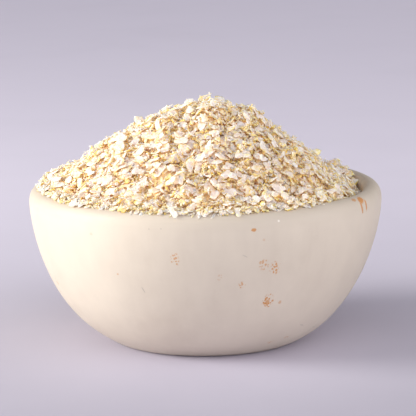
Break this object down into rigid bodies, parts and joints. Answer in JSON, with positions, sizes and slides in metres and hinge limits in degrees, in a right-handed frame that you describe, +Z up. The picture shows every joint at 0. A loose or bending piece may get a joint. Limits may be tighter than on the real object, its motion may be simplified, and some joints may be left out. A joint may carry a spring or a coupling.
{
  "type": "bowl of quinoa flakes",
  "caption": "Small thick-walled stone bowl with a flat foot and a domed rim, heaped well above the rim with dry quinoa flakes.",
  "frame": {"origin": "middle of the bowl's flat foot, on the surface that it stands on", "axes": "+Z up along the bowl's axis, -Y towards the side that the picture shows, +X to the right of that side"},
  "size_m": [0.12, 0.12, 0.0834],
  "materials": {
    "stone": "honed, matte, cream",
    "flakes": "dry, matte, cream to golden"
  },
  "bodies": {
    "root": {"bowl": "stone", "flake_heap": "flakes"}
  },
  "joints": []
}
